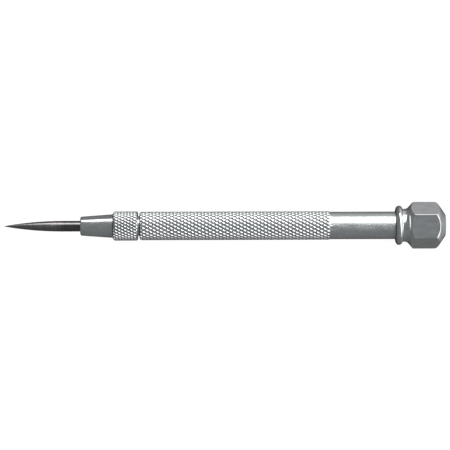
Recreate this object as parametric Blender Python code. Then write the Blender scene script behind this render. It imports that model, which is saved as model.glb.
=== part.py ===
"""Pocket scriber: a hardened point held by a collet chuck in a knurled handle with a hexagonal head.

Run with: blender --background --python part.py

The scriber lies along X on one flat of its head, with the point towards -X. Z is up, and the origin is on the
surface that it lies on, halfway along the tool. Every outline below is drawn in millimetres as (x, radius), with
x measured from the tip of the point, and is turned about the tool's axis.
"""

import math

import bmesh
import bpy
from mathutils import Matrix, Vector

MM = 0.001

# Driving sizes, in millimetres
OVERALL_LENGTH = 101.6
HEAD_ACROSS_FLATS = 9.4
BARREL_DIAMETER = 6.35
GRIP_DIAMETER = 6.6
POINT_DIAMETER = 2.46
POINT_LENGTH = 60.0
POINT_TAPER = 13.6
FIT_GAP = 0.05
SEGMENTS = 32

# Stations along the tool, in millimetres from the tip
NOSE_FRONT = 17.55
RING_FRONT = 25.0
RING_REAR = 30.75
GRIP_FRONT = 31.2
GRIP_REAR = 75.05
HEAD_FRONT = 90.15
HEAD_REAR = OVERALL_LENGTH

# The screw thread that joins the chuck nut to the handle
THREAD_PITCH = 0.5
THREAD_DEPTH = 0.27
THREAD_ROOT = 2.33
THREAD_PLAY = 0.08
THREAD_SEGMENTS = 24
SPIGOT_FRONT = 25.4
THREAD_FRONT = 25.7
THREAD_REAR = 30.6
NUT_THREAD_FRONT = 26.42

# The collet and the socket that it closes in
COLLET_FRONT = 24.2
COLLET_ROOT = 31.0
COLLET_REAR = 33.3
COLLET_BORE = POINT_DIAMETER / 2 + FIT_GAP
COLLET_HEAD = 1.93
COLLET_STEM = 1.6
COLLET_CONE_FRONT = 25.5
COLLET_SLOT = 0.36
CONE_SLOPE = math.tan(math.radians(12.0))
COLLET_CONE_REAR = COLLET_CONE_FRONT + (COLLET_HEAD - COLLET_STEM) / CONE_SLOPE
JAW_COUNT = 4

# The hole through the nose and the blind hole in the handle, which the point slides in
POINT_HOLE = 1.3
HOLE_REAR = 80.0

# The tenon at the handle's rear end, pressed into the head
TENON_RADIUS = 2.38
TENON_REAR = 96.8

AXIS_HEIGHT = HEAD_ACROSS_FLATS / 2

STEEL = ("satin_nickel", (0.62, 0.63, 0.62), 0.32, 1.0)
POINT_STEEL = ("hardened_steel", (0.16, 0.15, 0.15), 0.28, 1.0)
SPRING_STEEL = ("spring_steel", (0.30, 0.31, 0.34), 0.35, 1.0)


def clear_scene():
    for obj in list(bpy.data.objects):
        bpy.data.objects.remove(obj, do_unlink=True)


def material(name, colour, roughness, metallic):
    """The named Principled material, made the first time that it is asked for."""
    found = bpy.data.materials.get(name)
    if found:
        return found
    made = bpy.data.materials.new(name)
    made.use_nodes = True
    shader = made.node_tree.nodes["Principled BSDF"]
    shader.inputs["Base Color"].default_value = (*colour, 1.0)
    shader.inputs["Roughness"].default_value = roughness
    shader.inputs["Metallic"].default_value = metallic
    made.diffuse_color = (*colour, 1.0)
    return made


def arc(centre, radius, start, end, steps):
    """Points on an arc, from the start angle to the end angle in degrees, anticlockwise from +x."""
    points = []
    for step in range(steps + 1):
        angle = math.radians(start + (end - start) * step / steps)
        points.append((centre[0] + radius * math.cos(angle), centre[1] + radius * math.sin(angle)))
    return points


def bulged(first, last, rise, steps):
    """Points on the arc from first to last that stands rise out from the straight line between them."""
    (x0, r0), (x1, r1) = first, last
    chord = math.hypot(x1 - x0, r1 - r0)
    radius = chord * chord / (8 * rise) + rise / 2
    half_angle = math.asin(chord / 2 / radius)
    along = ((x1 - x0) / chord, (r1 - r0) / chord)
    outward = (-along[1], along[0])
    points = []
    for step in range(steps + 1):
        angle = half_angle * (2 * step / steps - 1)
        forward = chord / 2 + radius * math.sin(angle)
        out = radius * math.cos(angle) - radius + rise
        x = x0 + along[0] * forward + outward[0] * out
        points.append((x, r0 + along[1] * forward + outward[1] * out))
    return points


def mesh_object(name, bm, finish):
    """A new object with the bmesh's faces, facing out and smooth apart from the sharp edges."""
    bmesh.ops.remove_doubles(bm, verts=bm.verts, dist=1e-4 * MM)
    bmesh.ops.recalc_face_normals(bm, faces=bm.faces)
    mesh = bpy.data.meshes.new(name)
    bm.to_mesh(mesh)
    bm.free()
    mesh.shade_smooth()
    mesh.set_sharp_from_angle(angle=math.radians(30))
    mesh.materials.append(material(*finish))
    obj = bpy.data.objects.new(name, mesh)
    bpy.context.scene.collection.objects.link(obj)
    return obj


def turned_bmesh(outline):
    """The outline turned about the tool's axis. It is closed, or has both its ends on the axis."""
    bm = bmesh.new()
    points = [bm.verts.new((x * MM, 0.0, radius * MM)) for x, radius in outline]
    on_axis = outline[0][1] == 0.0 and outline[-1][1] == 0.0
    pairs = list(zip(points, points[1:]))
    if not on_axis:
        pairs.append((points[-1], points[0]))
    edges = [bm.edges.new(pair) for pair in pairs]
    bmesh.ops.spin(
        bm,
        geom=points + edges,
        axis=(1.0, 0.0, 0.0),
        cent=(0.0, 0.0, 0.0),
        steps=SEGMENTS,
        angle=2 * math.pi,
        use_merge=True,
    )
    bmesh.ops.remove_doubles(bm, verts=bm.verts, dist=1e-4 * MM)
    return bm


def turned(name, outline, finish):
    return mesh_object(name, turned_bmesh(outline), finish)


def threaded_rod(name, front, rear, root, finish):
    """A solid rod from front to rear with a right-hand 60 degree thread, whose crests run out at both ends."""
    crest = root + THREAD_DEPTH
    profile = ((0.0, root), (0.25, root), (0.5625, crest), (0.6875, crest))
    turns = math.ceil((rear - front) / THREAD_PITCH) + 1
    rows = [(turn + share, radius) for turn in range(turns) for share, radius in profile]
    bm = bmesh.new()
    grid = []
    for turn, radius in rows:
        line = []
        for segment in range(THREAD_SEGMENTS + 1):
            share = segment / THREAD_SEGMENTS
            x = front + THREAD_PITCH * (turn - 1 + share)
            inside = front < x < rear
            at = min(max(x, front), rear)
            out = radius if inside else root
            angle = 2 * math.pi * share
            line.append(bm.verts.new((at * MM, out * math.cos(angle) * MM, out * math.sin(angle) * MM)))
        grid.append(line)
    for lower, upper in zip(grid, grid[1:]):
        for segment in range(THREAD_SEGMENTS):
            corners = (lower[segment], upper[segment], upper[segment + 1], lower[segment + 1])
            bm.faces.new(corners)
    bmesh.ops.remove_doubles(bm, verts=bm.verts, dist=1e-4 * MM)
    bmesh.ops.dissolve_degenerate(bm, edges=bm.edges, dist=1e-4 * MM)
    ends = [edge for edge in bm.edges if edge.is_boundary]
    bmesh.ops.holes_fill(bm, edges=ends)
    return mesh_object(name, bm, finish)


def helper(obj):
    """Marks a cutter or a joined-on shape, which isn't a piece of the scriber itself."""
    obj.hide_render = True
    obj.display_type = "WIRE"
    return obj


def boolean(obj, operation, other):
    modifier = obj.modifiers.new(f"{operation}_{other.name}", "BOOLEAN")
    modifier.operation = operation
    modifier.solver = "EXACT"
    modifier.object = other


def place(obj, at):
    """Puts the object's origin at x = at on the tool's axis, and parents it to the axis."""
    obj.data.transform(Matrix.Translation((-at * MM, 0.0, 0.0)))
    obj.location = ((at - OVERALL_LENGTH / 2) * MM, 0.0, 0.0)
    obj.parent = bpy.data.objects["tool_axis"]
    return obj


def tool_axis():
    """The empty that every piece hangs from, at the height where the head's lower flat touches z = 0."""
    empty = bpy.data.objects.new("tool_axis", None)
    empty.location = (0.0, 0.0, AXIS_HEIGHT * MM)
    bpy.context.scene.collection.objects.link(empty)


def scriber_point():
    """The hardened point: a round rod with a long ogival taper, ground to a tip."""
    radius = POINT_DIAMETER / 2
    tip_radius = 0.05
    fullness = 2.15
    steps = 12
    outline = [(0.0, 0.0), (0.02, tip_radius)]
    for step in range(1, steps + 1):
        share = (step / steps) ** 1.4
        grown = tip_radius + (radius - tip_radius) * (1 - (1 - share) ** fullness)
        outline.append((POINT_TAPER * share, grown))
    rear_chamfer = 0.3
    outline.append((POINT_LENGTH - rear_chamfer, radius))
    outline.append((POINT_LENGTH, radius - rear_chamfer))
    outline.append((POINT_LENGTH, 0.0))
    return place(turned("scriber_point", outline, POINT_STEEL), POINT_LENGTH)


def chuck_nut():
    """The nut that closes the chuck: a smooth tapered nose and a ring with a grip, threaded inside."""
    nose_round = 0.3
    nose_front_radius = 2.17
    nose_rear_radius = 2.72
    ring_radius = 6.77 / 2
    chamber_radius = 2.2
    chamber_rear = 25.3
    relief = THREAD_ROOT + THREAD_DEPTH + THREAD_PLAY + 0.04
    blank_hole = THREAD_ROOT - 0.1
    shoulder = COLLET_FRONT - FIT_GAP
    round_centre = (NOSE_FRONT + nose_round, nose_front_radius - nose_round)
    outline = [(NOSE_FRONT, POINT_HOLE + 0.1), *arc(round_centre, nose_round, 180, 94, 4)]
    outline += [
        (RING_FRONT, nose_rear_radius),
        (RING_FRONT, 2.95),
        (RING_FRONT + 0.35, ring_radius),
        (RING_REAR - 0.5, ring_radius),
        (RING_REAR - 0.15, ring_radius - 0.14),
        (RING_REAR, 2.95),
        (RING_REAR, blank_hole),
        (NUT_THREAD_FRONT, blank_hole),
        (NUT_THREAD_FRONT, relief),
        (chamber_rear, relief),
        (chamber_rear, chamber_radius),
        (shoulder, chamber_radius),
        (shoulder, POINT_HOLE),
        (NOSE_FRONT + 0.1, POINT_HOLE),
    ]
    nut = turned("chuck_nut", outline, STEEL)
    tap = threaded_rod("nut_tap", THREAD_FRONT, RING_REAR + 0.85, THREAD_ROOT + THREAD_PLAY, STEEL)
    boolean(nut, "DIFFERENCE", helper(tap))
    place(tap, RING_REAR)
    return place(nut, RING_REAR)


def handle_barrel():
    """The handle: threaded spigot, grip, plain barrel and rear tenon, bored from the front for the point."""
    grip = GRIP_DIAMETER / 2
    plain = BARREL_DIAMETER / 2
    core = THREAD_ROOT - 0.08
    outline = [
        (SPIGOT_FRONT, 0.0),
        (SPIGOT_FRONT, core - 0.12),
        (SPIGOT_FRONT + 0.12, core),
        (GRIP_FRONT, core),
        (GRIP_FRONT, 2.95),
        (GRIP_FRONT + 0.2, grip - 0.1),
        (GRIP_FRONT + 1.0, grip),
        (GRIP_REAR - 0.15, grip),
        (GRIP_REAR, plain),
        (HEAD_FRONT - FIT_GAP - 0.1, plain),
        (HEAD_FRONT - FIT_GAP, plain - 0.1),
        (HEAD_FRONT - FIT_GAP, TENON_RADIUS),
        (TENON_REAR - 0.3, TENON_RADIUS),
        (TENON_REAR, TENON_RADIUS - 0.3),
        (TENON_REAR, 0.0),
    ]
    handle = turned("handle_barrel", outline, STEEL)
    thread = threaded_rod("spigot_thread", THREAD_FRONT, THREAD_REAR, THREAD_ROOT, STEEL)
    boolean(handle, "UNION", helper(thread))
    bore = helper(turned("socket_and_bore", socket_outline(), STEEL))
    boolean(handle, "DIFFERENCE", bore)
    place(thread, GRIP_FRONT)
    place(bore, GRIP_FRONT)
    return place(handle, GRIP_FRONT)


def socket_outline():
    """The collet's socket, with a conical seat at its mouth, and behind it the blind hole for the point."""
    seat_gap = FIT_GAP * 0.6
    over = 1.0
    seat_mouth = COLLET_HEAD + seat_gap + (COLLET_CONE_FRONT - SPIGOT_FRONT) * CONE_SLOPE
    socket_radius = COLLET_STEM + FIT_GAP
    seat_rear = SPIGOT_FRONT + (seat_mouth - socket_radius) / CONE_SLOPE
    socket_rear = COLLET_REAR + 0.2
    drill_point = POINT_HOLE / math.tan(math.radians(59))
    return [
        (SPIGOT_FRONT - over, 0.0),
        (SPIGOT_FRONT - over, seat_mouth + over * CONE_SLOPE),
        (seat_rear, socket_radius),
        (socket_rear, socket_radius),
        (socket_rear, POINT_HOLE),
        (HOLE_REAR, POINT_HOLE),
        (HOLE_REAR + drill_point, 0.0),
    ]


def collet_sleeve():
    """The unslit tail of the spring collet, which ties its jaws together."""
    outline = [
        (COLLET_ROOT, COLLET_BORE),
        (COLLET_ROOT, COLLET_STEM),
        (COLLET_REAR - 0.15, COLLET_STEM),
        (COLLET_REAR, COLLET_STEM - 0.15),
        (COLLET_REAR, COLLET_BORE),
    ]
    return place(turned("collet_sleeve", outline, SPRING_STEEL), COLLET_ROOT)


def collet_jaws():
    """Four jaws that share one mesh, slit from one turned head. Each turns about its root, in mid-wall."""
    outline = [
        (COLLET_FRONT, COLLET_BORE + 0.08),
        (COLLET_FRONT, COLLET_HEAD - 0.15),
        (COLLET_FRONT + 0.15, COLLET_HEAD),
        (COLLET_CONE_FRONT, COLLET_HEAD),
        (COLLET_CONE_REAR, COLLET_STEM),
        (COLLET_ROOT - FIT_GAP, COLLET_STEM),
        (COLLET_ROOT - FIT_GAP, COLLET_BORE),
        (COLLET_FRONT + 0.08, COLLET_BORE),
    ]
    bm = turned_bmesh(outline)
    for side in (1, -1):
        slit = Vector((0.0, side, 1.0)).normalized()
        bmesh.ops.bisect_plane(
            bm,
            geom=bm.verts[:] + bm.edges[:] + bm.faces[:],
            dist=1e-4 * MM,
            plane_co=slit * (COLLET_SLOT / 2 * MM),
            plane_no=slit,
            clear_inner=True,
        )
        cut = [edge for edge in bm.edges if edge.is_boundary]
        bmesh.ops.edgeloop_fill(bm, edges=cut)
    root_radius = (COLLET_BORE + COLLET_STEM) / 2
    bmesh.ops.translate(bm, verts=bm.verts, vec=(-COLLET_ROOT * MM, 0.0, -root_radius * MM))
    first = mesh_object("collet_jaw_1", bm, SPRING_STEEL)
    x = (COLLET_ROOT - OVERALL_LENGTH / 2) * MM
    for index in range(JAW_COUNT):
        name = f"collet_jaw_{index + 1}"
        jaw = first
        if index:
            jaw = bpy.data.objects.new(name, first.data)
            bpy.context.scene.collection.objects.link(jaw)
        turn = 2 * math.pi * index / JAW_COUNT
        outward = Matrix.Rotation(turn, 3, "X") @ Vector((0.0, 0.0, root_radius * MM))
        jaw.location = Vector((x, 0.0, 0.0)) + outward
        jaw.rotation_euler = (turn, 0.0, 0.0)
        jaw.parent = bpy.data.objects["tool_axis"]


def hex_head():
    """The head: a bead and a neck turned in front of a hexagon with a coned front and a domed rear."""
    bead_centre = (91.02, 3.72)
    bead_radius = 0.85
    neck_radius = 3.84
    neck_rear = 92.07
    fillet = 1.25
    hexagon_front = 94.37
    dome_front = (98.9, 5.62)
    cone_front = (100.25, 4.55)
    end_radius = 2.55
    socket_radius = TENON_RADIUS + FIT_GAP
    socket_rear = TENON_REAR + 0.4
    beyond_corners = 5.62
    neck_angle = math.degrees(math.asin((neck_radius - bead_centre[1]) / bead_radius))
    outline = [(HEAD_FRONT, socket_radius), (HEAD_FRONT, bead_centre[1] - 0.2)]
    outline += arc(bead_centre, bead_radius, 180, neck_angle, 8)
    outline += arc((neck_rear, neck_radius + fillet), fillet, -90, -45, 4)
    outline.append((hexagon_front, beyond_corners))
    outline += bulged(dome_front, cone_front, 0.13, 5)
    outline.append((HEAD_REAR - 0.1, end_radius + 0.14))
    outline += [(HEAD_REAR, end_radius), (HEAD_REAR, 0.0), (socket_rear, 0.0), (socket_rear, socket_radius)]
    head = turned_with_blind_hole("hex_head", outline)
    across_corners = HEAD_ACROSS_FLATS / math.cos(math.radians(30))
    bm = bmesh.new()
    bmesh.ops.create_cone(
        bm,
        cap_ends=True,
        segments=6,
        radius1=across_corners / 2 * MM,
        radius2=across_corners / 2 * MM,
        depth=(HEAD_REAR - HEAD_FRONT + 4.0) * MM,
        matrix=Matrix.Translation(((HEAD_FRONT + HEAD_REAR) / 2 * MM, 0.0, 0.0))
        @ Matrix.Rotation(math.radians(90), 4, "Y"),
    )
    hexagon = helper(mesh_object("hexagon", bm, STEEL))
    boolean(head, "INTERSECT", hexagon)
    place(hexagon, HEAD_FRONT)
    return place(head, HEAD_FRONT)


def turned_with_blind_hole(name, outline):
    """A turned solid whose closed outline runs along the axis between the end face and a blind hole."""
    start = next(index for index, point in enumerate(outline) if point[1] == 0.0)
    open_outline = outline[start + 1 :] + outline[: start + 1]
    return turned(name, open_outline, STEEL)


def main():
    clear_scene()
    tool_axis()
    scriber_point()
    chuck_nut()
    collet_sleeve()
    collet_jaws()
    handle_barrel()
    hex_head()


main()
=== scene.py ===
"""Looks for the pocket scriber: fine meshes with real knurling and screw threads, and worn satin metal.

Outlines are drawn in millimetres as (x, radius), with x measured from the tip of the point along the tool.
"""

import math

import bmesh
import bpy
from mathutils import Matrix, Vector


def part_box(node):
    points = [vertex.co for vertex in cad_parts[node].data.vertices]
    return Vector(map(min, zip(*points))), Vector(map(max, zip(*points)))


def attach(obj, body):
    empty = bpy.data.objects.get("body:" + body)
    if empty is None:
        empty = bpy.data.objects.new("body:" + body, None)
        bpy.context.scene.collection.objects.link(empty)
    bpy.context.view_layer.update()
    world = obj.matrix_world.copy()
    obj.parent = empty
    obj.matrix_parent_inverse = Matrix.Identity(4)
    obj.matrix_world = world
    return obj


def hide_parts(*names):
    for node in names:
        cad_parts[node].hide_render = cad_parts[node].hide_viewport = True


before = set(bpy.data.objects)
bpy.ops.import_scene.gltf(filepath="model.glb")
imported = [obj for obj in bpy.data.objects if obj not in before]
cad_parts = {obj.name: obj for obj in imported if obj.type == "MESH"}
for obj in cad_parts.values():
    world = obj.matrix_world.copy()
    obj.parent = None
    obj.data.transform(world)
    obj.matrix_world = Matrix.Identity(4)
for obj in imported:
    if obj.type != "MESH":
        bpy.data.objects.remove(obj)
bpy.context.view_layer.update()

# The frame is in metres. Points closer together than MERGE become one point.
MM = 0.001
MERGE = 1e-7
TURN = 2 * math.pi

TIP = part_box("scriber_point")[0].x
HEAD_LOW, HEAD_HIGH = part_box("hex_head")
AXIS_Z = (HEAD_LOW.z + HEAD_HIGH.z) / 2
ACROSS_FLATS = (HEAD_HIGH.z - HEAD_LOW.z) / MM


def station(x):
    """How far a place in the frame is from the tip along the tool, in millimetres."""
    return (x - TIP) / MM


# Knurling: grooves each way round, how far apart one hand's grooves are along the axis, and mesh rows
GRIP_STARTS = 22
GRIP_PITCH = 1.6
GRIP_ROWS = 329
RING_STARTS = 26
RING_PITCH = 1.4
RING_ROWS = 49

# How far the grip's pattern turns in each millimetre, in radians
GRIP_DRIFT = 0.0022

# Mesh steps from one groove to the next, and the share of a knurl's height that its nearer groove sets
# alone. The mean of both hands' grooves sets the rest, which deepens the places where they cross.
KNURL_STEPS = 6
NEARER_SHARE = 0.85

# The knurls' radii on their crests and where their grooves cross
GRIP_CREST = 3.3
GRIP_ROOT = 3.08
RING_CREST = 3.385
RING_ROOT = 3.165

# Where each part of the tool begins and ends
NOSE_FRONT = station(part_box("chuck_nut")[0].x)
RING_REAR = station(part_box("chuck_nut")[1].x)
RING_FRONT = RING_REAR - RING_ROWS * RING_PITCH / KNURL_STEPS / 2
SPIGOT_FRONT = station(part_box("handle_barrel")[0].x)
GRIP_FRONT = RING_REAR + 0.45
GRIP_REAR = GRIP_FRONT + GRIP_ROWS * GRIP_PITCH / KNURL_STEPS / 2
PLAIN_RADIUS = 3.175
TENON_REAR = station(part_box("handle_barrel")[1].x)
TENON_RADIUS = 2.38
HEAD_FRONT = station(HEAD_LOW.x)
HEAD_REAR = station(HEAD_HIGH.x)
POINT_RADIUS = (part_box("scriber_point")[1].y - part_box("scriber_point")[0].y) / 2 / MM
POINT_LENGTH = station(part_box("scriber_point")[1].x)
POINT_TAPER = 13.6
POINT_HOLE = 1.3
POINT_SIDES = 96

# The screw thread between the nut and the handle. Its flats and flanks are shares of the pitch.
THREAD_PITCH = 0.5
THREAD_DEPTH = 0.27
THREAD_ROOT_FLAT = 0.25
THREAD_FLANK = 0.3125
THREAD_CREST_FLAT = 0.125
THREAD_ROOT = 2.33
THREAD_PLAY = 0.08
THREAD_FRONT = SPIGOT_FRONT + 0.3
THREAD_REAR = RING_REAR - 0.15


# Outlines and meshes


def arc(centre, radius, start, end, steps):
    """Points on an arc, from the start angle to the end angle in degrees, anticlockwise from +x."""
    points = []
    for step in range(steps + 1):
        angle = math.radians(start + (end - start) * step / steps)
        points.append((centre[0] + radius * math.cos(angle), centre[1] + radius * math.sin(angle)))
    return points


def straight(first, last, steps):
    """Evenly spaced points from first to last, without first itself."""
    points = []
    for step in range(1, steps + 1):
        share = step / steps
        points.append((first[0] + (last[0] - first[0]) * share, first[1] + (last[1] - first[1]) * share))
    return points


def bulged(first, last, rise, steps):
    """Points on the arc from first to last that stands rise out from the straight line between them."""
    (x0, r0), (x1, r1) = first, last
    chord = math.hypot(x1 - x0, r1 - r0)
    radius = chord * chord / (8 * rise) + rise / 2
    half_angle = math.asin(chord / 2 / radius)
    along = ((x1 - x0) / chord, (r1 - r0) / chord)
    outward = (-along[1], along[0])
    points = []
    for step in range(steps + 1):
        angle = half_angle * (2 * step / steps - 1)
        forward = chord / 2 + radius * math.sin(angle)
        out = radius * math.cos(angle) - radius + rise
        x = x0 + along[0] * forward + outward[0] * out
        points.append((x, r0 + along[1] * forward + outward[1] * out))
    return points


class Skin:
    """A surface built from rows of points that each go once round the tool's axis.

    Every row ends a full turn after its first point, so that a screw thread's rows can end further along
    than they start. Points in the same place are merged at the end.
    """

    def __init__(self, count):
        self.count = count
        self.bm = bmesh.new()
        self.first = None
        self.last = None
        self.last_offset = 0.0
        self.twist = 0.0

    def angles(self, offset=0.0):
        """Evenly spaced angles once round, shifted by offset steps."""
        return [self.twist + (step + offset) / self.count * TURN for step in range(self.count + 1)]

    def add_row(self, points, offset=0.0):
        """Joins a row of (x, radius, angle) to the last one. Its offset is 0 or half a step."""
        row = []
        for x, radius, angle in points:
            place = (TIP + x * MM, radius * math.cos(angle) * MM, AXIS_Z + radius * math.sin(angle) * MM)
            row.append(self.bm.verts.new(place))
        if self.last:
            self.join(self.last, row, offset - self.last_offset)
        else:
            self.first = row
        self.last = row
        self.last_offset = offset

    def join(self, lower, upper, shift):
        """Faces between two rows. Shift is how many steps the upper row's offset is past the lower's."""
        faces = self.bm.faces
        for step in range(self.count):
            low, low_next = lower[step], lower[step + 1]
            up, up_next = upper[step], upper[step + 1]
            if shift == 0.0:
                faces.new((low, up, up_next, low_next))
            elif shift > 0.0:
                faces.new((low, up, low_next))
                faces.new((low_next, up, up_next))
            else:
                faces.new((low, up, up_next))
                faces.new((low, up_next, low_next))

    def add_outline(self, outline):
        """Turns each (x, radius) of the outline into a round row."""
        for x, radius in outline:
            self.add_row([(x, radius, angle) for angle in self.angles()])

    def add_knurl(self, front, pitch, rows, radius_at, drift=0.0):
        """A diamond knurl whose mesh lines run along its grooves, which are deepest where they cross.

        radius_at gives a radius from x and a height, which is 0 where grooves cross and 1 on the crests.
        The pattern turns by drift radians in each millimetre.
        """
        spacing = pitch / KNURL_STEPS / 2
        for row in range(rows + 1):
            offset = row % 2 / 2
            x = front + row * spacing
            points = []
            for step, angle in enumerate(self.angles(offset)):
                right = (step + offset + row / 2) / KNURL_STEPS
                left = (step + offset - row / 2) / KNURL_STEPS
                ridges = (ridge(right), ridge(left))
                height = NEARER_SHARE * min(ridges) + (1 - NEARER_SHARE) * sum(ridges) / 2
                points.append((x, radius_at(x, height), angle))
            self.add_row(points, offset)
            self.twist += drift * spacing

    def add_thread(self, front, rear, root, end_radius, backwards=False):
        """A right-hand 60 degree thread. Past its ends, its rows lie at the end radius."""
        crest = root + THREAD_DEPTH
        flank_front = THREAD_ROOT_FLAT
        crest_front = flank_front + THREAD_FLANK
        crest_rear = crest_front + THREAD_CREST_FLAT
        profile = ((0.0, root), (flank_front, root), (crest_front, crest), (crest_rear, crest))
        first_turn = math.floor((front - THREAD_FRONT) / THREAD_PITCH) - 1
        last_turn = math.ceil((rear - THREAD_FRONT) / THREAD_PITCH)
        rows = []
        for turn in range(first_turn, last_turn + 1):
            for share, radius in profile:
                row = []
                for angle in self.angles():
                    x = THREAD_FRONT + THREAD_PITCH * (turn + share + angle / TURN)
                    inside = front < x < rear
                    row.append((min(max(x, front), rear), radius if inside else end_radius, angle))
                rows.append(row)
        if backwards:
            rows.reverse()
        for row in rows:
            self.add_row(row)

    def close(self):
        """Joins the last row back to the first, for a piece with a hole right through it."""
        self.join(self.last, self.first, 0.0)

    def finish(self, name, sharp=30):
        """Merges the points that are in the same place, and makes the object."""
        bmesh.ops.remove_doubles(self.bm, verts=self.bm.verts, dist=MERGE)
        bmesh.ops.dissolve_degenerate(self.bm, edges=self.bm.edges, dist=MERGE)
        return mesh_object(name, self.bm, sharp)


def ridge(place):
    """How high a knurl stands across its grooves, which are at the whole numbers."""
    return 1 - (1 - 2 * abs(place - round(place))) ** 3


def mesh_object(name, bm, sharp):
    """A new object from the bmesh, facing out, and smooth except at edges sharper than sharp degrees."""
    bmesh.ops.recalc_face_normals(bm, faces=bm.faces)
    mesh = bpy.data.meshes.new(name)
    bm.to_mesh(mesh)
    bm.free()
    mesh.shade_smooth()
    mesh.set_sharp_from_angle(angle=math.radians(sharp))
    obj = bpy.data.objects.new(name, mesh)
    bpy.context.scene.collection.objects.link(obj)
    return obj


# The pieces


def point_piece():
    """The hardened point: a long ogival taper, a round shank and a small chamfer at its hidden end."""
    tip_radius = 0.08
    tip_length = 0.07
    tip_shoulder = (0.02, tip_radius * 0.7)
    fullness = 2.03
    steps = 64
    crowding = 1.5
    rear_chamfer = 0.3
    outline = [(0.0, 0.0), tip_shoulder, (tip_length, tip_radius)]
    for step in range(1, steps + 1):
        share = (step / steps) ** crowding
        grown = tip_radius + (POINT_RADIUS - tip_radius) * (1 - (1 - share) ** fullness)
        outline.append((tip_length + (POINT_TAPER - tip_length) * share, grown))
    outline += straight((POINT_TAPER, POINT_RADIUS), (POINT_LENGTH - rear_chamfer, POINT_RADIUS), 12)
    outline += [(POINT_LENGTH, POINT_RADIUS - rear_chamfer), (POINT_LENGTH, 0.0)]
    skin = Skin(POINT_SIDES)
    skin.add_outline(outline)
    return skin.finish("fine_scriber_point")


def ring_radius(x, height):
    """The nut's knurl, bevelled at both ends. Its grooves run out into a narrow plain edge at the rear."""
    front_radius = 2.97
    front_slope = 1.3
    rear_radius = 3.2
    rear_slope = 0.85
    plain_length = 0.1
    run_out_length = 0.15
    plain_radius = RING_CREST - 0.05
    knurled = RING_ROOT + (RING_CREST - RING_ROOT) * height
    run_out = (x - (RING_REAR - plain_length - run_out_length)) / run_out_length
    run_out = min(max(run_out, 0.0), 1.0)
    front_limit = front_radius + (x - RING_FRONT) * front_slope
    rear_limit = rear_radius + (RING_REAR - x) * rear_slope
    return min(knurled + (plain_radius - knurled) * run_out, front_limit, rear_limit)


def nut_piece():
    """The chuck nut: a tapered nose and a knurled ring and, inside, a thread, a chamber and a hole."""
    nose_round = 0.3
    round_end = 94
    nose_front_radius = 2.2
    nose_rear_radius = 2.72
    hole_chamfer = 0.12
    chamber_radius = 2.2
    chamber_rear = SPIGOT_FRONT - 0.1
    shoulder = chamber_rear - 1.15
    relief = THREAD_ROOT + THREAD_PLAY + THREAD_DEPTH + 0.04
    thread_front = SPIGOT_FRONT + 1.02
    skin = Skin(RING_STARTS * KNURL_STEPS)
    round_centre = (NOSE_FRONT + nose_round, nose_front_radius - nose_round)
    nose = [(NOSE_FRONT, POINT_HOLE + hole_chamfer), *arc(round_centre, nose_round, 180, round_end, 10)]
    skin.add_outline(nose + straight(nose[-1], (RING_FRONT, nose_rear_radius), 8))
    skin.add_knurl(RING_FRONT, RING_PITCH, RING_ROWS, ring_radius)
    skin.add_outline([(RING_REAR, relief)])
    skin.add_thread(thread_front, THREAD_REAR, THREAD_ROOT + THREAD_PLAY, relief, backwards=True)
    skin.add_outline(
        [
            (chamber_rear, relief),
            (chamber_rear, chamber_radius),
            (shoulder, chamber_radius),
            (shoulder, POINT_HOLE),
            (NOSE_FRONT + hole_chamfer, POINT_HOLE),
        ]
    )
    skin.close()
    return skin.finish("fine_chuck_nut")


def grip_radius(x, height):
    """The handle's knurl, bevelled at its front. At the rear it stops short, in a row of part diamonds."""
    bevel_radius = 2.95
    bevel_slope = 1.2
    run_out_length = 0.3
    knurled = GRIP_ROOT + (GRIP_CREST - GRIP_ROOT) * height
    run_out = min(max((x - (GRIP_REAR - run_out_length)) / run_out_length, 0.0), 1.0)
    return min(knurled + (PLAIN_RADIUS - knurled) * run_out, bevel_radius + (x - GRIP_FRONT) * bevel_slope)


def handle_piece():
    """The handle, from the bottom of its blind hole, round its threaded front end, to its rear tenon."""
    core = THREAD_ROOT - 0.08
    spigot_chamfer = 0.12
    seat_mouth = 1.981
    seat_rear = SPIGOT_FRONT + 1.56
    socket_radius = 1.65
    socket_rear = 33.5
    hole_rear = 80.0
    drill_half_angle = 59
    drill_point = POINT_HOLE / math.tan(math.radians(drill_half_angle))
    rear_chamfer = 0.1
    tenon_chamfer = 0.3
    head_gap = 0.05
    skin = Skin(GRIP_STARTS * KNURL_STEPS)
    skin.add_outline(
        [
            (hole_rear + drill_point, 0.0),
            (hole_rear, POINT_HOLE),
            (socket_rear, POINT_HOLE),
            (socket_rear, socket_radius),
            (seat_rear, socket_radius),
            (SPIGOT_FRONT, seat_mouth),
            (SPIGOT_FRONT, core - spigot_chamfer),
            (SPIGOT_FRONT + spigot_chamfer, core),
        ]
    )
    skin.add_thread(THREAD_FRONT, THREAD_REAR, THREAD_ROOT, core)
    skin.add_outline([(GRIP_FRONT, core)])
    skin.add_knurl(GRIP_FRONT, GRIP_PITCH, GRIP_ROWS, grip_radius, GRIP_DRIFT)
    rear = HEAD_FRONT - head_gap
    plain = [(GRIP_REAR, PLAIN_RADIUS), (rear - rear_chamfer, PLAIN_RADIUS)]
    skin.add_outline(straight(*plain, 16))
    skin.add_outline(
        [
            (rear, PLAIN_RADIUS - rear_chamfer),
            (rear, TENON_RADIUS),
            (TENON_REAR - tenon_chamfer, TENON_RADIUS),
            (TENON_REAR, TENON_RADIUS - tenon_chamfer),
            (TENON_REAR, 0.0),
        ]
    )
    return skin.finish("fine_handle_barrel")


def rounded_min(first, second, blend):
    """The smaller of two numbers, rounded off where they differ by less than blend."""
    closeness = max(blend - abs(first - second), 0.0) / blend
    return min(first, second) - closeness * closeness * blend / 4


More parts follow.
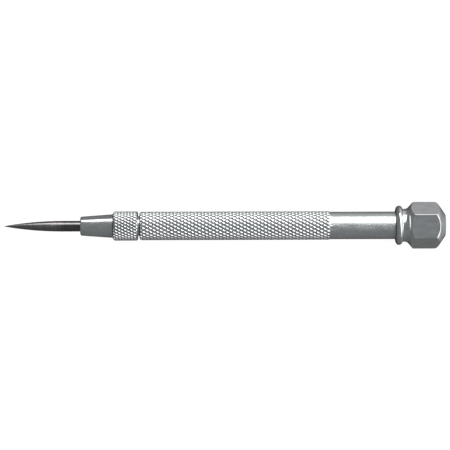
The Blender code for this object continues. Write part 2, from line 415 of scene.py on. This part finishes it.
def hexagon_radius(angle, corner_blend):
    """How far the hexagon's surface is from its axis, with one flat facing straight up."""
    side = math.pi / 3
    from_flat = (angle - math.pi / 2 + side / 2) % side - side / 2
    nearest = ACROSS_FLATS / 2 / math.cos(from_flat)
    following = ACROSS_FLATS / 2 / math.cos(side - abs(from_flat))
    return rounded_min(nearest, following, corner_blend)


def head_piece():
    """The head: a bead and a neck turned in front of a hexagon with a coned front and a domed rear."""
    bead_centre = (HEAD_FRONT + 0.81, 3.79)
    bead_radius = 0.75
    face_radius = bead_centre[1] - 0.2
    neck_radius = 3.8
    fillet = 1.2
    flare = 49
    beyond_corners = 5.62
    hexagon_front = HEAD_FRONT + 4.22
    dome_front = (HEAD_REAR - 2.7, beyond_corners)
    dome_rise = 0.13
    cone_front = (HEAD_REAR - 1.35, 4.55)
    end_radius = 2.55
    end_round = 0.15
    round_start = 38
    socket_radius = TENON_RADIUS + 0.05
    socket_rear = TENON_REAR + 0.4
    flat_blend = 0.06
    corner_blend = 0.07
    neck_angle = math.degrees(math.asin((neck_radius - bead_centre[1]) / bead_radius))
    flare_radius = neck_radius + fillet * (1 - math.cos(math.radians(flare)))
    flare_front = hexagon_front - (beyond_corners - flare_radius) / math.tan(math.radians(flare))
    neck_rear = flare_front - fillet * math.sin(math.radians(flare))
    turned = [(socket_rear, 0.0), (socket_rear, socket_radius)]
    turned += [(HEAD_FRONT, socket_radius), (HEAD_FRONT, face_radius)]
    turned += arc(bead_centre, bead_radius, 180, neck_angle, 24)
    outline = arc((neck_rear, neck_radius + fillet), fillet, -90, flare - 90, 12)
    outline += straight(outline[-1], (hexagon_front, beyond_corners), 22)
    outline += straight((hexagon_front, beyond_corners), dome_front, 12)
    outline += bulged(dome_front, cone_front, dome_rise, 22)[1:]
    rim = arc((HEAD_REAR - end_round, end_radius), end_round, round_start, 0, 6)
    outline += straight(cone_front, rim[0], 14)
    sides = 6
    side_angle = 60
    near_corner = (0.0, 0.3, 0.6, 0.9, 1.2, 1.6, 2.2)
    steps = [*near_corner, *range(4, 58, 2), *(side_angle - step for step in reversed(near_corner[1:]))]
    angles = [math.radians(side_angle * side + step) for side in range(sides) for step in steps]
    angles.append(TURN)
    skin = Skin(len(angles) - 1)
    for x, radius in turned:
        skin.add_row([(x, radius, angle) for angle in angles])
    for x, radius in outline:
        row = []
        for angle in angles:
            row.append((x, rounded_min(radius, hexagon_radius(angle, corner_blend), flat_blend), angle))
        skin.add_row(row)
    for x, radius in [*rim[1:], (HEAD_REAR, 0.0)]:
        skin.add_row([(x, radius, angle) for angle in angles])
    head = skin.finish("fine_hex_head", sharp=40)
    weighted = head.modifiers.new("flat_faces_stay_flat", "WEIGHTED_NORMAL")
    weighted.keep_sharp = True
    return head


# Materials


# Sockets of a colour Mix node, whose names it shares between its kinds of data
MIX_FIRST = 6
MIX_SECOND = 7
MIX_RESULT = 2

# Parts of a noise's range: nearly all of it, the part that shows as patches or clouds, and its peaks
NEARLY_ALL = (0.3, 0.7)
PATCHES = (0.35, 0.7)
CLOUDS = (0.35, 0.68)
PEAKS = (0.64, 0.72)


class Nodes:
    """A node tree, with short ways to add and join its nodes."""

    def __init__(self, tree):
        self.tree = tree

    def node(self, kind, **settings):
        made = self.tree.nodes.new(kind)
        for name, value in settings.items():
            setattr(made, name, value)
        return made

    def link(self, output, into):
        self.tree.links.new(output, into)

    def vector_math(self, operation, first, second=None):
        """The node itself, since its result may be a vector or a number."""
        made = self.node("ShaderNodeVectorMath", operation=operation)
        self.link(first, made.inputs[0])
        if second is not None:
            made.inputs[1].default_value = second
        return made

    def math(self, operation, first, second):
        """The result for two numbers, either of which may be a socket."""
        made = self.node("ShaderNodeMath", operation=operation)
        for value, into in ((first, made.inputs[0]), (second, made.inputs[1])):
            if isinstance(value, (int, float)):
                into.default_value = value
            else:
                self.link(value, into)
        return made.outputs[0]

    def remap(self, value, low, high, new_low=0.0, new_high=1.0, curve="LINEAR"):
        """The value's range from low to high, brought to the new range and held inside it."""
        made = self.node("ShaderNodeMapRange", clamp=True, interpolation_type=curve)
        self.link(value, made.inputs["Value"])
        made.inputs["From Min"].default_value = low
        made.inputs["From Max"].default_value = high
        made.inputs["To Min"].default_value = new_low
        made.inputs["To Max"].default_value = new_high
        return made.outputs["Result"]

    def fade(self, value, low, high, new_low=0.0, new_high=1.0):
        """The same as remap, with a smooth start and end."""
        return self.remap(value, low, high, new_low, new_high, "SMOOTHSTEP")

    def mix(self, share, first, second):
        """A colour between first and second, either of which may be a socket."""
        made = self.node("ShaderNodeMix", data_type="RGBA")
        self.link(share, made.inputs["Factor"])
        for value, into in ((first, made.inputs[MIX_FIRST]), (second, made.inputs[MIX_SECOND])):
            if isinstance(value, tuple):
                into.default_value = (*value, 1.0)
            else:
                self.link(value, into)
        return made.outputs[MIX_RESULT]


class Surface(Nodes):
    """A new material's nodes. Its places are in millimetres, from the tip of the point."""

    def __init__(self, name):
        self.material = bpy.data.materials.new(name)
        self.material.use_nodes = True
        super().__init__(self.material.node_tree)
        self.shader = self.tree.nodes["Principled BSDF"]
        in_frame = self.node("ShaderNodeTexCoord").outputs["Object"]
        from_tip = self.vector_math("SUBTRACT", in_frame, (TIP, 0.0, AXIS_Z)).outputs["Vector"]
        to_millimetres = (1 / MM, 1 / MM, 1 / MM)
        self.place = self.vector_math("MULTIPLY", from_tip, to_millimetres).outputs["Vector"]
        parts = self.node("ShaderNodeSeparateXYZ")
        self.link(self.place, parts.inputs[0])
        self.along = parts.outputs["X"]
        across = self.node("ShaderNodeCombineXYZ")
        self.link(parts.outputs["Y"], across.inputs["Y"])
        self.link(parts.outputs["Z"], across.inputs["Z"])
        self.radius = self.vector_math("LENGTH", across.outputs[0]).outputs["Value"]

    def stretched(self, x, y, z):
        """The place, scaled by a different amount each way."""
        return self.vector_math("MULTIPLY", self.place, (x, y, z)).outputs["Vector"]

    def rings(self, along, outward):
        """A place that only changes along the axis and away from it, for marks that run round the tool."""
        made = self.node("ShaderNodeCombineXYZ")
        self.link(self.math("MULTIPLY", self.along, along), made.inputs["X"])
        self.link(self.math("MULTIPLY", self.radius, outward), made.inputs["Y"])
        return made.outputs[0]

    def noise(self, place, scale=1.0, detail=2.0, roughness=0.5):
        made = self.node("ShaderNodeTexNoise")
        self.link(place, made.inputs["Vector"])
        made.inputs["Scale"].default_value = scale
        made.inputs["Detail"].default_value = detail
        made.inputs["Roughness"].default_value = roughness
        return made.outputs["Fac"]

    def bump(self, height, depth, under=None):
        """A normal for marks that many millimetres deep, on top of another normal if there is one."""
        made = self.node("ShaderNodeBump")
        self.link(height, made.inputs["Height"])
        made.inputs["Distance"].default_value = depth * MM
        if under:
            self.link(under, made.inputs["Normal"])
        return made.outputs["Normal"]

    def finish(self, colour, roughness, normal, metallic=1.0):
        self.shader.inputs["Metallic"].default_value = metallic
        self.link(colour, self.shader.inputs["Base Color"])
        self.link(roughness, self.shader.inputs["Roughness"])
        self.link(normal, self.shader.inputs["Normal"])
        return self.material


def satin_nickel(name, bright, clouded, gloss, grooves=None, turned=0.7):
    """Plated steel: fine rings from turning, faint clouding, hairline scratches, and grooves darkened by
    grime and painted shade.

    gloss is the range of its roughness. grooves are a knurl's root and crest radius and its front, and
    turned is how strongly the turning marks draw out the highlights.
    """
    scratch_dulling = 0.1
    # How far up a knurl the grooves are darkened, how softly this starts at its front, how strongly, and
    # in what colour: partly grime, partly painted shade for the shadow in the grooves
    grime_and_shade_share = 0.45
    grime_and_shade_edge = 0.05
    grime_and_shade_cover = 0.9
    grime_and_shade_colour = (0.03, 0.03, 0.028)
    grime_dulling = 0.2
    ring_depth = 0.0025
    wave_depth = 0.012
    quarter_turn = 0.25
    surface = Surface(name)
    clouds = surface.noise(surface.stretched(0.35, 1.0, 1.0), scale=0.9, detail=3.0)
    rings = surface.noise(surface.rings(5.0, 5.0), detail=3.0, roughness=0.6)
    waves = surface.noise(surface.stretched(0.5, 0.7, 0.7))
    scratches = surface.noise(surface.stretched(14.0, 1.2, 1.2), detail=1.0)
    colour = surface.mix(surface.remap(clouds, *CLOUDS), clouded, bright)
    scratched = surface.remap(scratches, *PEAKS, 0.0, scratch_dulling)
    roughness = surface.math("ADD", surface.remap(clouds, *NEARLY_ALL, *gloss), scratched)
    if grooves:
        # The colour darkens towards the knurl's groove roots. This is partly grime and partly painted
        # shade where the grooves fall into shadow.
        root, crest, front = grooves
        grime_and_shade_top = root + (crest - root) * grime_and_shade_share
        low = surface.remap(surface.radius, root, grime_and_shade_top, 1.0, 0.0)
        on_knurl = surface.remap(surface.along, front - grime_and_shade_edge, front + grime_and_shade_edge)
        grime_and_shade = surface.math("MULTIPLY", low, on_knurl)
        colour = surface.mix(surface.math("MULTIPLY", grime_and_shade, grime_and_shade_cover), colour, grime_and_shade_colour)
        roughness = surface.math("ADD", roughness, surface.math("MULTIPLY", grime_and_shade, grime_dulling))
    normal = surface.bump(rings, ring_depth)
    normal = surface.bump(waves, wave_depth, normal)
    if turned:
        around = surface.node("ShaderNodeTangent", direction_type="RADIAL", axis="X")
        surface.link(around.outputs["Tangent"], surface.shader.inputs["Tangent"])
        surface.shader.inputs["Anisotropic"].default_value = turned
        surface.shader.inputs["Anisotropic Rotation"].default_value = quarter_turn
    return surface.finish(colour, roughness, normal, metallic=0.9)


def hardened_steel():
    """The point: dark polished shank, and a paler taper with rings left by grinding."""
    shank_dark = (0.16, 0.155, 0.15)
    shank_light = (0.22, 0.21, 0.205)
    taper_dark = (0.215, 0.198, 0.196)
    taper_light = (0.35, 0.325, 0.325)
    shank_roughness = 0.12
    taper_roughness = 0.24
    ring_dulling = 0.06
    ring_depth = 0.004
    surface = Surface("hardened_steel_ground")
    ground = surface.remap(surface.along, POINT_TAPER - 2.0, POINT_TAPER + 0.4, 1.0, 0.0)
    rings = surface.noise(surface.rings(16.0, 3.0), detail=3.0, roughness=0.6)
    blotches = surface.noise(surface.stretched(0.8, 1.5, 1.5), detail=3.0)
    shank = surface.mix(surface.remap(blotches, *PATCHES), shank_dark, shank_light)
    taper = surface.mix(surface.remap(rings, *NEARLY_ALL), taper_dark, taper_light)
    colour = surface.mix(ground, shank, taper)
    polish = surface.remap(ground, 0.0, 1.0, shank_roughness, taper_roughness)
    roughness = surface.math("ADD", polish, surface.remap(rings, *NEARLY_ALL, 0.0, ring_dulling))
    return surface.finish(colour, roughness, surface.bump(rings, ring_depth))


def spring_steel():
    """The collet, hidden inside: oiled spring steel with a blued temper and grinding rings."""
    blued = (0.20, 0.22, 0.27)
    bare = (0.36, 0.36, 0.38)
    gloss = (0.25, 0.4)
    ring_depth = 0.004
    surface = Surface("spring_steel_tempered")
    rings = surface.noise(surface.rings(12.0, 6.0), detail=3.0)
    clouds = surface.noise(surface.place, scale=1.3, detail=3.0)
    colour = surface.mix(surface.remap(clouds, *PATCHES), blued, bare)
    roughness = surface.remap(rings, *NEARLY_ALL, *gloss)
    return surface.finish(colour, roughness, surface.bump(rings, ring_depth))


def paper_white():
    """The pale table, which glows, with a grain too faint to see from a distance."""
    grain_dark = (0.10, 0.10, 0.10)
    grain_light = (0.12, 0.12, 0.12)
    surface = Surface("pale_table")
    grain = surface.noise(surface.place, scale=0.8)
    colour = surface.mix(surface.remap(grain, *NEARLY_ALL), grain_dark, grain_light)
    surface.link(colour, surface.shader.inputs["Base Color"])
    surface.shader.inputs["Roughness"].default_value = 0.9
    surface.shader.inputs["Emission Color"].default_value = (1.0, 1.0, 1.0, 1.0)
    surface.shader.inputs["Emission Strength"].default_value = TABLE_GLOW
    return surface.material


# The studio

TABLE_GLOW = 0.93

# The camera: metres from the tool and across its view, and degrees away from straight above and of roll
VIEW_DISTANCE = 0.45
VIEW_WIDTH = 0.1038
VIEW_LEAN = 3.4
VIEW_ROLL = -0.16
SENSOR = 36.0
FRAME_CENTRE = Vector((0.00006, 0.000175, AXIS_Z))

# A wide soft panel fills the +X side of the sky, behind an edge that runs nearly overhead. The pairs say
# where it begins and is full: past its edge, and in height. LOW_EDGE does the same for what is below it.
PANEL_SIDE = Vector((0.88, 0.38, -0.286)).normalized()
PANEL_EDGE = (-0.05, 0.05)
PANEL_FOOT = (0.08, 0.3)
LOW_EDGE = (0.3, 0.5)
PANEL_LIGHT = 4.0

# The panel fades to this away from its edge and towards -Y
PANEL_FADED = 1.0
FADE_FROM_EDGE = (0.42, 0.72)
FADE_ACROSS = (-0.75, -0.1)

# How bright the rest of the studio is at each height, from -1 straight down to 1 straight up
DIM_SIDE = (
    (-1.0, 0.02),
    (-0.75, 0.08),
    (-0.45, 0.145),
    (0.2, 0.16),
    (0.7, 0.185),
    (0.93, 0.19),
    (1.0, 0.183),
)
PANEL_SIDE_LOW = ((-1.0, 0.02), (-0.73, 0.2), (-0.48, 0.34), (-0.3, 0.55), (-0.05, 0.75), (1.0, 0.75))

# The tint of that light, which comes in above this height and is full 1 higher
COOL = (0.92, 1.0, 1.04)
COOL_FROM = -0.6


def height_ramp(sky, height, levels):
    """The light at each height, from pairs of height and brightness that begin at -1 and end at 1."""
    made = sky.node("ShaderNodeValToRGB")
    sky.link(sky.remap(height, -1.0, 1.0), made.inputs["Fac"])
    stops = made.color_ramp.elements
    for place, _ in levels[1:-1]:
        stops.new((place + 1) / 2)
    for stop, (place, level) in zip(stops, levels):
        tinted = min(max(place - COOL_FROM, 0.0), 1.0)
        stop.color = (*(level * (1 + (channel - 1) * tinted) for channel in COOL), 1.0)
    return made.outputs["Color"]


def studio_world():
    """Surroundings that the metal reflects: a bright soft panel to one side, and dim walls and floor."""
    world = bpy.data.worlds.new("studio")
    bpy.context.scene.world = world
    world.use_nodes = True
    sky = Nodes(world.node_tree)
    direction = sky.node("ShaderNodeTexCoord").outputs["Generated"]
    parts = sky.node("ShaderNodeSeparateXYZ")
    sky.link(direction, parts.inputs[0])
    height = parts.outputs["Z"]
    past_edge = sky.vector_math("DOT_PRODUCT", direction, PANEL_SIDE).outputs["Value"]
    low_share = sky.fade(past_edge, *LOW_EDGE)
    rest = sky.mix(low_share, height_ramp(sky, height, DIM_SIDE), height_ramp(sky, height, PANEL_SIDE_LOW))
    on_panel = sky.math("MULTIPLY", sky.fade(past_edge, *PANEL_EDGE), sky.fade(height, *PANEL_FOOT))
    near_edge = sky.fade(past_edge, *FADE_FROM_EDGE, 1.0, 0.0)
    unfaded = sky.math("MULTIPLY", near_edge, sky.fade(parts.outputs["Y"], *FADE_ACROSS))
    panel = sky.remap(unfaded, 0.0, 1.0, PANEL_FADED, PANEL_LIGHT)
    sky.link(sky.mix(on_panel, rest, panel), sky.tree.nodes["Background"].inputs["Color"])


def table():
    """A wide pale table with raised edges, tipped to meet the head and the nut's ring within 0.03 mm."""
    tipping_line = HEAD_FRONT + 4.2
    under_head = Vector((TIP + tipping_line * MM, 0.0, 0.0))
    ring_low = Vector((TIP + RING_FRONT * MM, 0.0, AXIS_Z - RING_CREST * MM))
    slope = math.atan2(ring_low.z, under_head.x - ring_low.x)
    flat_radius = 1.2
    flat_shares = (0.1, 0.4, 0.7, 1.0)
    rim_rise = 1.0
    rim_steps = 12
    segments = 96
    bm = bmesh.new()
    rings = [[bm.verts.new((0.0, 0.0, 0.0))]]
    outline = [(flat_radius * share, 0.0) for share in flat_shares]
    for step in range(1, rim_steps + 1):
        bend = math.radians(90 * step / rim_steps)
        outline.append((flat_radius + rim_rise * math.sin(bend), rim_rise * (1 - math.cos(bend))))
    for radius, height in outline:
        ring = []
        for segment in range(segments):
            angle = segment / segments * TURN
            ring.append(bm.verts.new((radius * math.cos(angle), radius * math.sin(angle), height)))
        rings.append(ring)
    for segment in range(segments):
        following = (segment + 1) % segments
        bm.faces.new((rings[0][0], rings[1][segment], rings[1][following]))
        for inner, outer in zip(rings[1:], rings[2:]):
            bm.faces.new((inner[segment], outer[segment], outer[following], inner[following]))
    obj = mesh_object("pale_table", bm, sharp=60)
    obj.location = under_head
    obj.rotation_euler = (0.0, slope, 0.0)
    obj.data.materials.append(paper_white())
    obj.visible_glossy = False
    obj.visible_shadow = False


def camera():
    """Looks down on the tool from a little to the +Y side, with the point to the left."""
    lens = bpy.data.cameras.new("camera")
    lens.sensor_width = SENSOR
    lens.lens = SENSOR * VIEW_DISTANCE / VIEW_WIDTH
    lens.clip_start = 0.01
    obj = bpy.data.objects.new("camera", lens)
    lean = math.radians(VIEW_LEAN)
    back = Vector((0.0, math.sin(lean), math.cos(lean)))
    obj.location = FRAME_CENTRE + back * VIEW_DISTANCE
    turn = Matrix.Rotation(math.radians(VIEW_ROLL), 4, back)
    facing = Matrix.Rotation(-lean, 4, "X")
    obj.rotation_euler = (turn @ facing).to_euler()
    bpy.context.scene.collection.objects.link(obj)
    bpy.context.scene.camera = obj


# Putting it together


def add_piece(piece, node, body, material):
    """Puts a finer piece on a body, in place of a CAD node."""
    piece.data.materials.clear()
    piece.data.materials.append(material)
    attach(piece, body)
    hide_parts(node)


def build():
    bright = (0.66, 0.675, 0.68)
    clouded = (0.58, 0.595, 0.60)
    nut_bright = (0.58, 0.595, 0.60)
    nut_clouded = (0.51, 0.525, 0.53)
    handle_gloss = (0.18, 0.23)
    nut_gloss = (0.13, 0.17)
    head_gloss = (0.10, 0.14)
    grip_grooves = (GRIP_ROOT, GRIP_CREST, GRIP_FRONT)
    ring_grooves = (RING_ROOT, RING_CREST, RING_FRONT)
    handle = satin_nickel("nickel_handle", bright, clouded, handle_gloss, grip_grooves)
    nut = satin_nickel("nickel_nut", nut_bright, nut_clouded, nut_gloss, ring_grooves)
    head = satin_nickel("nickel_head", bright, clouded, head_gloss, turned=0.0)
    add_piece(point_piece(), "scriber_point", "point", hardened_steel())
    add_piece(nut_piece(), "chuck_nut", "nut", nut)
    add_piece(handle_piece(), "handle_barrel", "handle", handle)
    add_piece(head_piece(), "hex_head", "handle", head)
    collet = spring_steel()
    for name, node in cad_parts.items():
        if name.startswith("collet"):
            node.data.materials.clear()
            node.data.materials.append(collet)


build()
studio_world()
table()
camera()
bpy.context.scene.view_settings.view_transform = "Standard"
